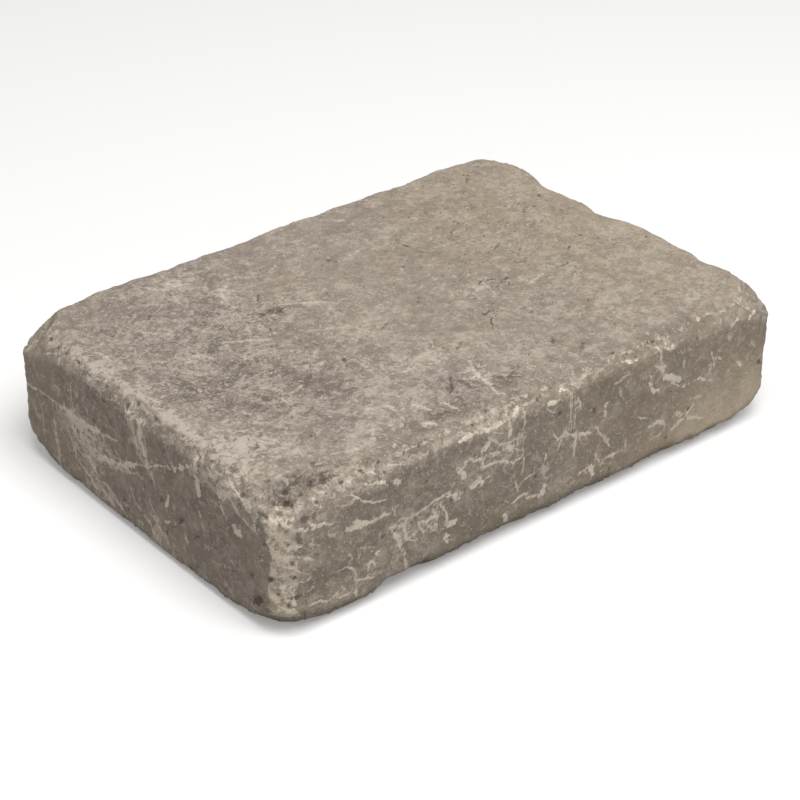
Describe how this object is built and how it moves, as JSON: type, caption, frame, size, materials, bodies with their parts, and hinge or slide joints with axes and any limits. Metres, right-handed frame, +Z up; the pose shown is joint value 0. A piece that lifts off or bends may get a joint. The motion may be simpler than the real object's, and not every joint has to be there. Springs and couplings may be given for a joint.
{
  "type": "tumbled concrete wall block",
  "caption": "Solid rectangular dry-stack wall block of cast concrete, with tumbled, unevenly worn edges and rounded corners.",
  "frame": {"origin": "middle of the bottom bed face, which is the middle of the bounding box's underside", "axes": "+X along the length, +Y along the depth, from the front side to the back side, +Z up from the bottom bed face to the top bed face"},
  "size_m": [0.33, 0.23, 0.075],
  "materials": {
    "concrete": "matt weathered concrete, warm grey, with paler worn edges"
  },
  "bodies": {
    "root": {"wall_block": "concrete"}
  },
  "joints": []
}
